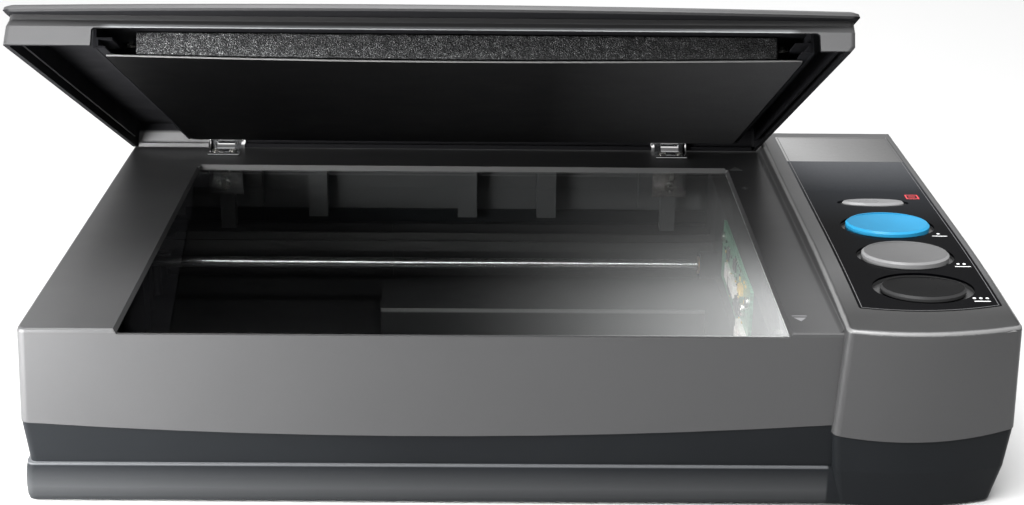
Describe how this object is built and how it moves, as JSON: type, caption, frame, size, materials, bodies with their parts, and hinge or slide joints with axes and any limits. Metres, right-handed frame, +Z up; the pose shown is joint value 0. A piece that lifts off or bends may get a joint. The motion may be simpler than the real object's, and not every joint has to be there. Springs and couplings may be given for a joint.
{
  "type": "flatbed scanner",
  "caption": "Low wide flatbed document scanner with a glass bed, a hinged cover, a sliding scan head inside and a raised column of oval keys along one side.",
  "frame": {"origin": "centre of the footprint at table level", "axes": "+X along the width towards the key column, +Y from the front to the hinge side, +Z up"},
  "size_m": [0.4559, 0.2882, 0.2297],
  "materials": {
    "housing_grey": "satin",
    "casing_charcoal": "satin",
    "clear_glass": "gloss",
    "white_film": "matte",
    "silver_trim": "satin",
    "piano_black": "gloss",
    "bright_steel": "satin",
    "chrome_hinge": "polished",
    "zinc_screw": "satin",
    "motor_steel": "satin",
    "brass_gear": "satin",
    "white_acetal": "satin",
    "belt_rubber": "matte",
    "foot_rubber": "matte",
    "green_board": "satin",
    "chip_black": "matte",
    "cable_white": "satin",
    "inner_black": "matte",
    "foam_black": "matte",
    "mat_black": "matte",
    "lens_glass": "gloss",
    "mirror_face": "polished",
    "lamp_glass": "gloss",
    "reflector_foil": "polished",
    "bronze_bush": "satin",
    "key_silver": "satin",
    "key_blue": "satin",
    "key_grey": "satin",
    "key_black": "satin"
  },
  "bodies": {
    "base": {"base_tray": "casing_charcoal", "belt_tension_spring": "bright_steel", "board_chips": "chip_black", "button_board": "green_board", "button_switches": "chip_black", "calibration_strip": "white_film", "case_screws": "zinc_screw", "chassis_frame": "inner_black", "chassis_screws": "zinc_screw", "dc_jack": "chip_black", "drive_belt": "belt_rubber", "drive_motor": "motor_steel", "guide_rod": "bright_steel", "hinge_backing_plates": "bright_steel", "hinge_base_left": "chrome_hinge", "hinge_base_right": "chrome_hinge", "hinge_pin_left": "bright_steel", "hinge_pin_right": "bright_steel", "hinge_screws": "zinc_screw", "idler_bracket": "bright_steel", "inlay_black": "piano_black", "inlay_silver": "silver_trim", "main_board": "green_board", "motor_bracket": "bright_steel", "pulley_axles": "bright_steel", "ribbon_cable": "cable_white", "rod_clips": "white_acetal", "rubber_feet": "foot_rubber", "scan_glass": "clear_glass", "socket_contacts": "chip_black", "upper_housing": "housing_grey", "usb_socket": "bright_steel"},
    "lid": {"lid_shell": "housing_grey", "lid_inner_frame": "inner_black", "foam_pad": "foam_black", "document_mat": "mat_black", "mat_rails": "inner_black", "lid_screws": "zinc_screw", "hinge_leaf_left": "chrome_hinge", "hinge_leaf_right": "chrome_hinge"},
    "carriage": {"carriage_housing": "inner_black", "carriage_cover": "inner_black", "carriage_screws": "zinc_screw", "sensor_board": "green_board", "sensor_connectors": "cable_white", "line_sensor": "chip_black", "lens_barrel": "inner_black", "lens_glass": "lens_glass", "mirrors": "mirror_face", "lamp_tube": "lamp_glass", "lamp_reflector": "reflector_foil", "rod_bushings": "bronze_bush", "belt_clamp_and_pads": "inner_black"},
    "reduction_gear_body": {"reduction_gear": "white_acetal"},
    "motor_pinion_body": {"motor_pinion": "brass_gear"},
    "idler_pulley_body": {"idler_pulley": "white_acetal"},
    "button_silver_body": {"button_silver": "key_silver"},
    "button_blue_body": {"button_blue": "key_blue"},
    "button_grey_body": {"button_grey": "key_grey"},
    "button_black_body": {"button_black": "key_black"}
  },
  "joints": [
    {"name": "lid_hinge", "type": "hinge", "parent": "base", "child": "lid", "pos_m": [0.00165, 0.1304, 0.092], "axis": [-1, 0, 0], "range_deg": [-27.1, 57.9]},
    {"name": "carriage_slide", "type": "slide", "parent": "base", "child": "carriage", "axis": [-1, 0, 0], "range_m": [0, 0.296], "deforming": ["ribbon_cable"]},
    {"name": "gear_spin", "type": "hinge", "parent": "base", "child": "reduction_gear_body", "pos_m": [0.19765, 0.086, 0.0325], "axis": [0, 0, 1], "continuous": true},
    {"name": "pinion_spin", "type": "hinge", "parent": "base", "child": "motor_pinion_body", "pos_m": [0.19765, 0.0668, 0.0325], "axis": [0, 0, 1], "continuous": true},
    {"name": "idler_spin", "type": "hinge", "parent": "base", "child": "idler_pulley_body", "pos_m": [-0.20335, 0.086, 0.043], "axis": [0, 0, 1], "continuous": true},
    {"name": "press_silver", "type": "slide", "parent": "base", "child": "button_silver_body", "axis": [0, 0, -1], "range_m": [0, 0.0012], "stiffness_N_per_m": 500, "springref_m": -0.001},
    {"name": "press_blue", "type": "slide", "parent": "base", "child": "button_blue_body", "axis": [0, 0, -1], "range_m": [0, 0.0012], "stiffness_N_per_m": 500, "springref_m": -0.001},
    {"name": "press_grey", "type": "slide", "parent": "base", "child": "button_grey_body", "axis": [0, 0, -1], "range_m": [0, 0.0012], "stiffness_N_per_m": 500, "springref_m": -0.001},
    {"name": "press_black", "type": "slide", "parent": "base", "child": "button_black_body", "axis": [0, 0, -1], "range_m": [0, 0.0012], "stiffness_N_per_m": 500, "springref_m": -0.001}
  ],
  "couplings": [
    {"joint": "gear_spin", "follows": "carriage_slide", "rad_per_m": -151.52},
    {"joint": "pinion_spin", "follows": "carriage_slide", "rad_per_m": 454.55},
    {"joint": "idler_spin", "follows": "carriage_slide", "rad_per_m": -151.52}
  ]
}
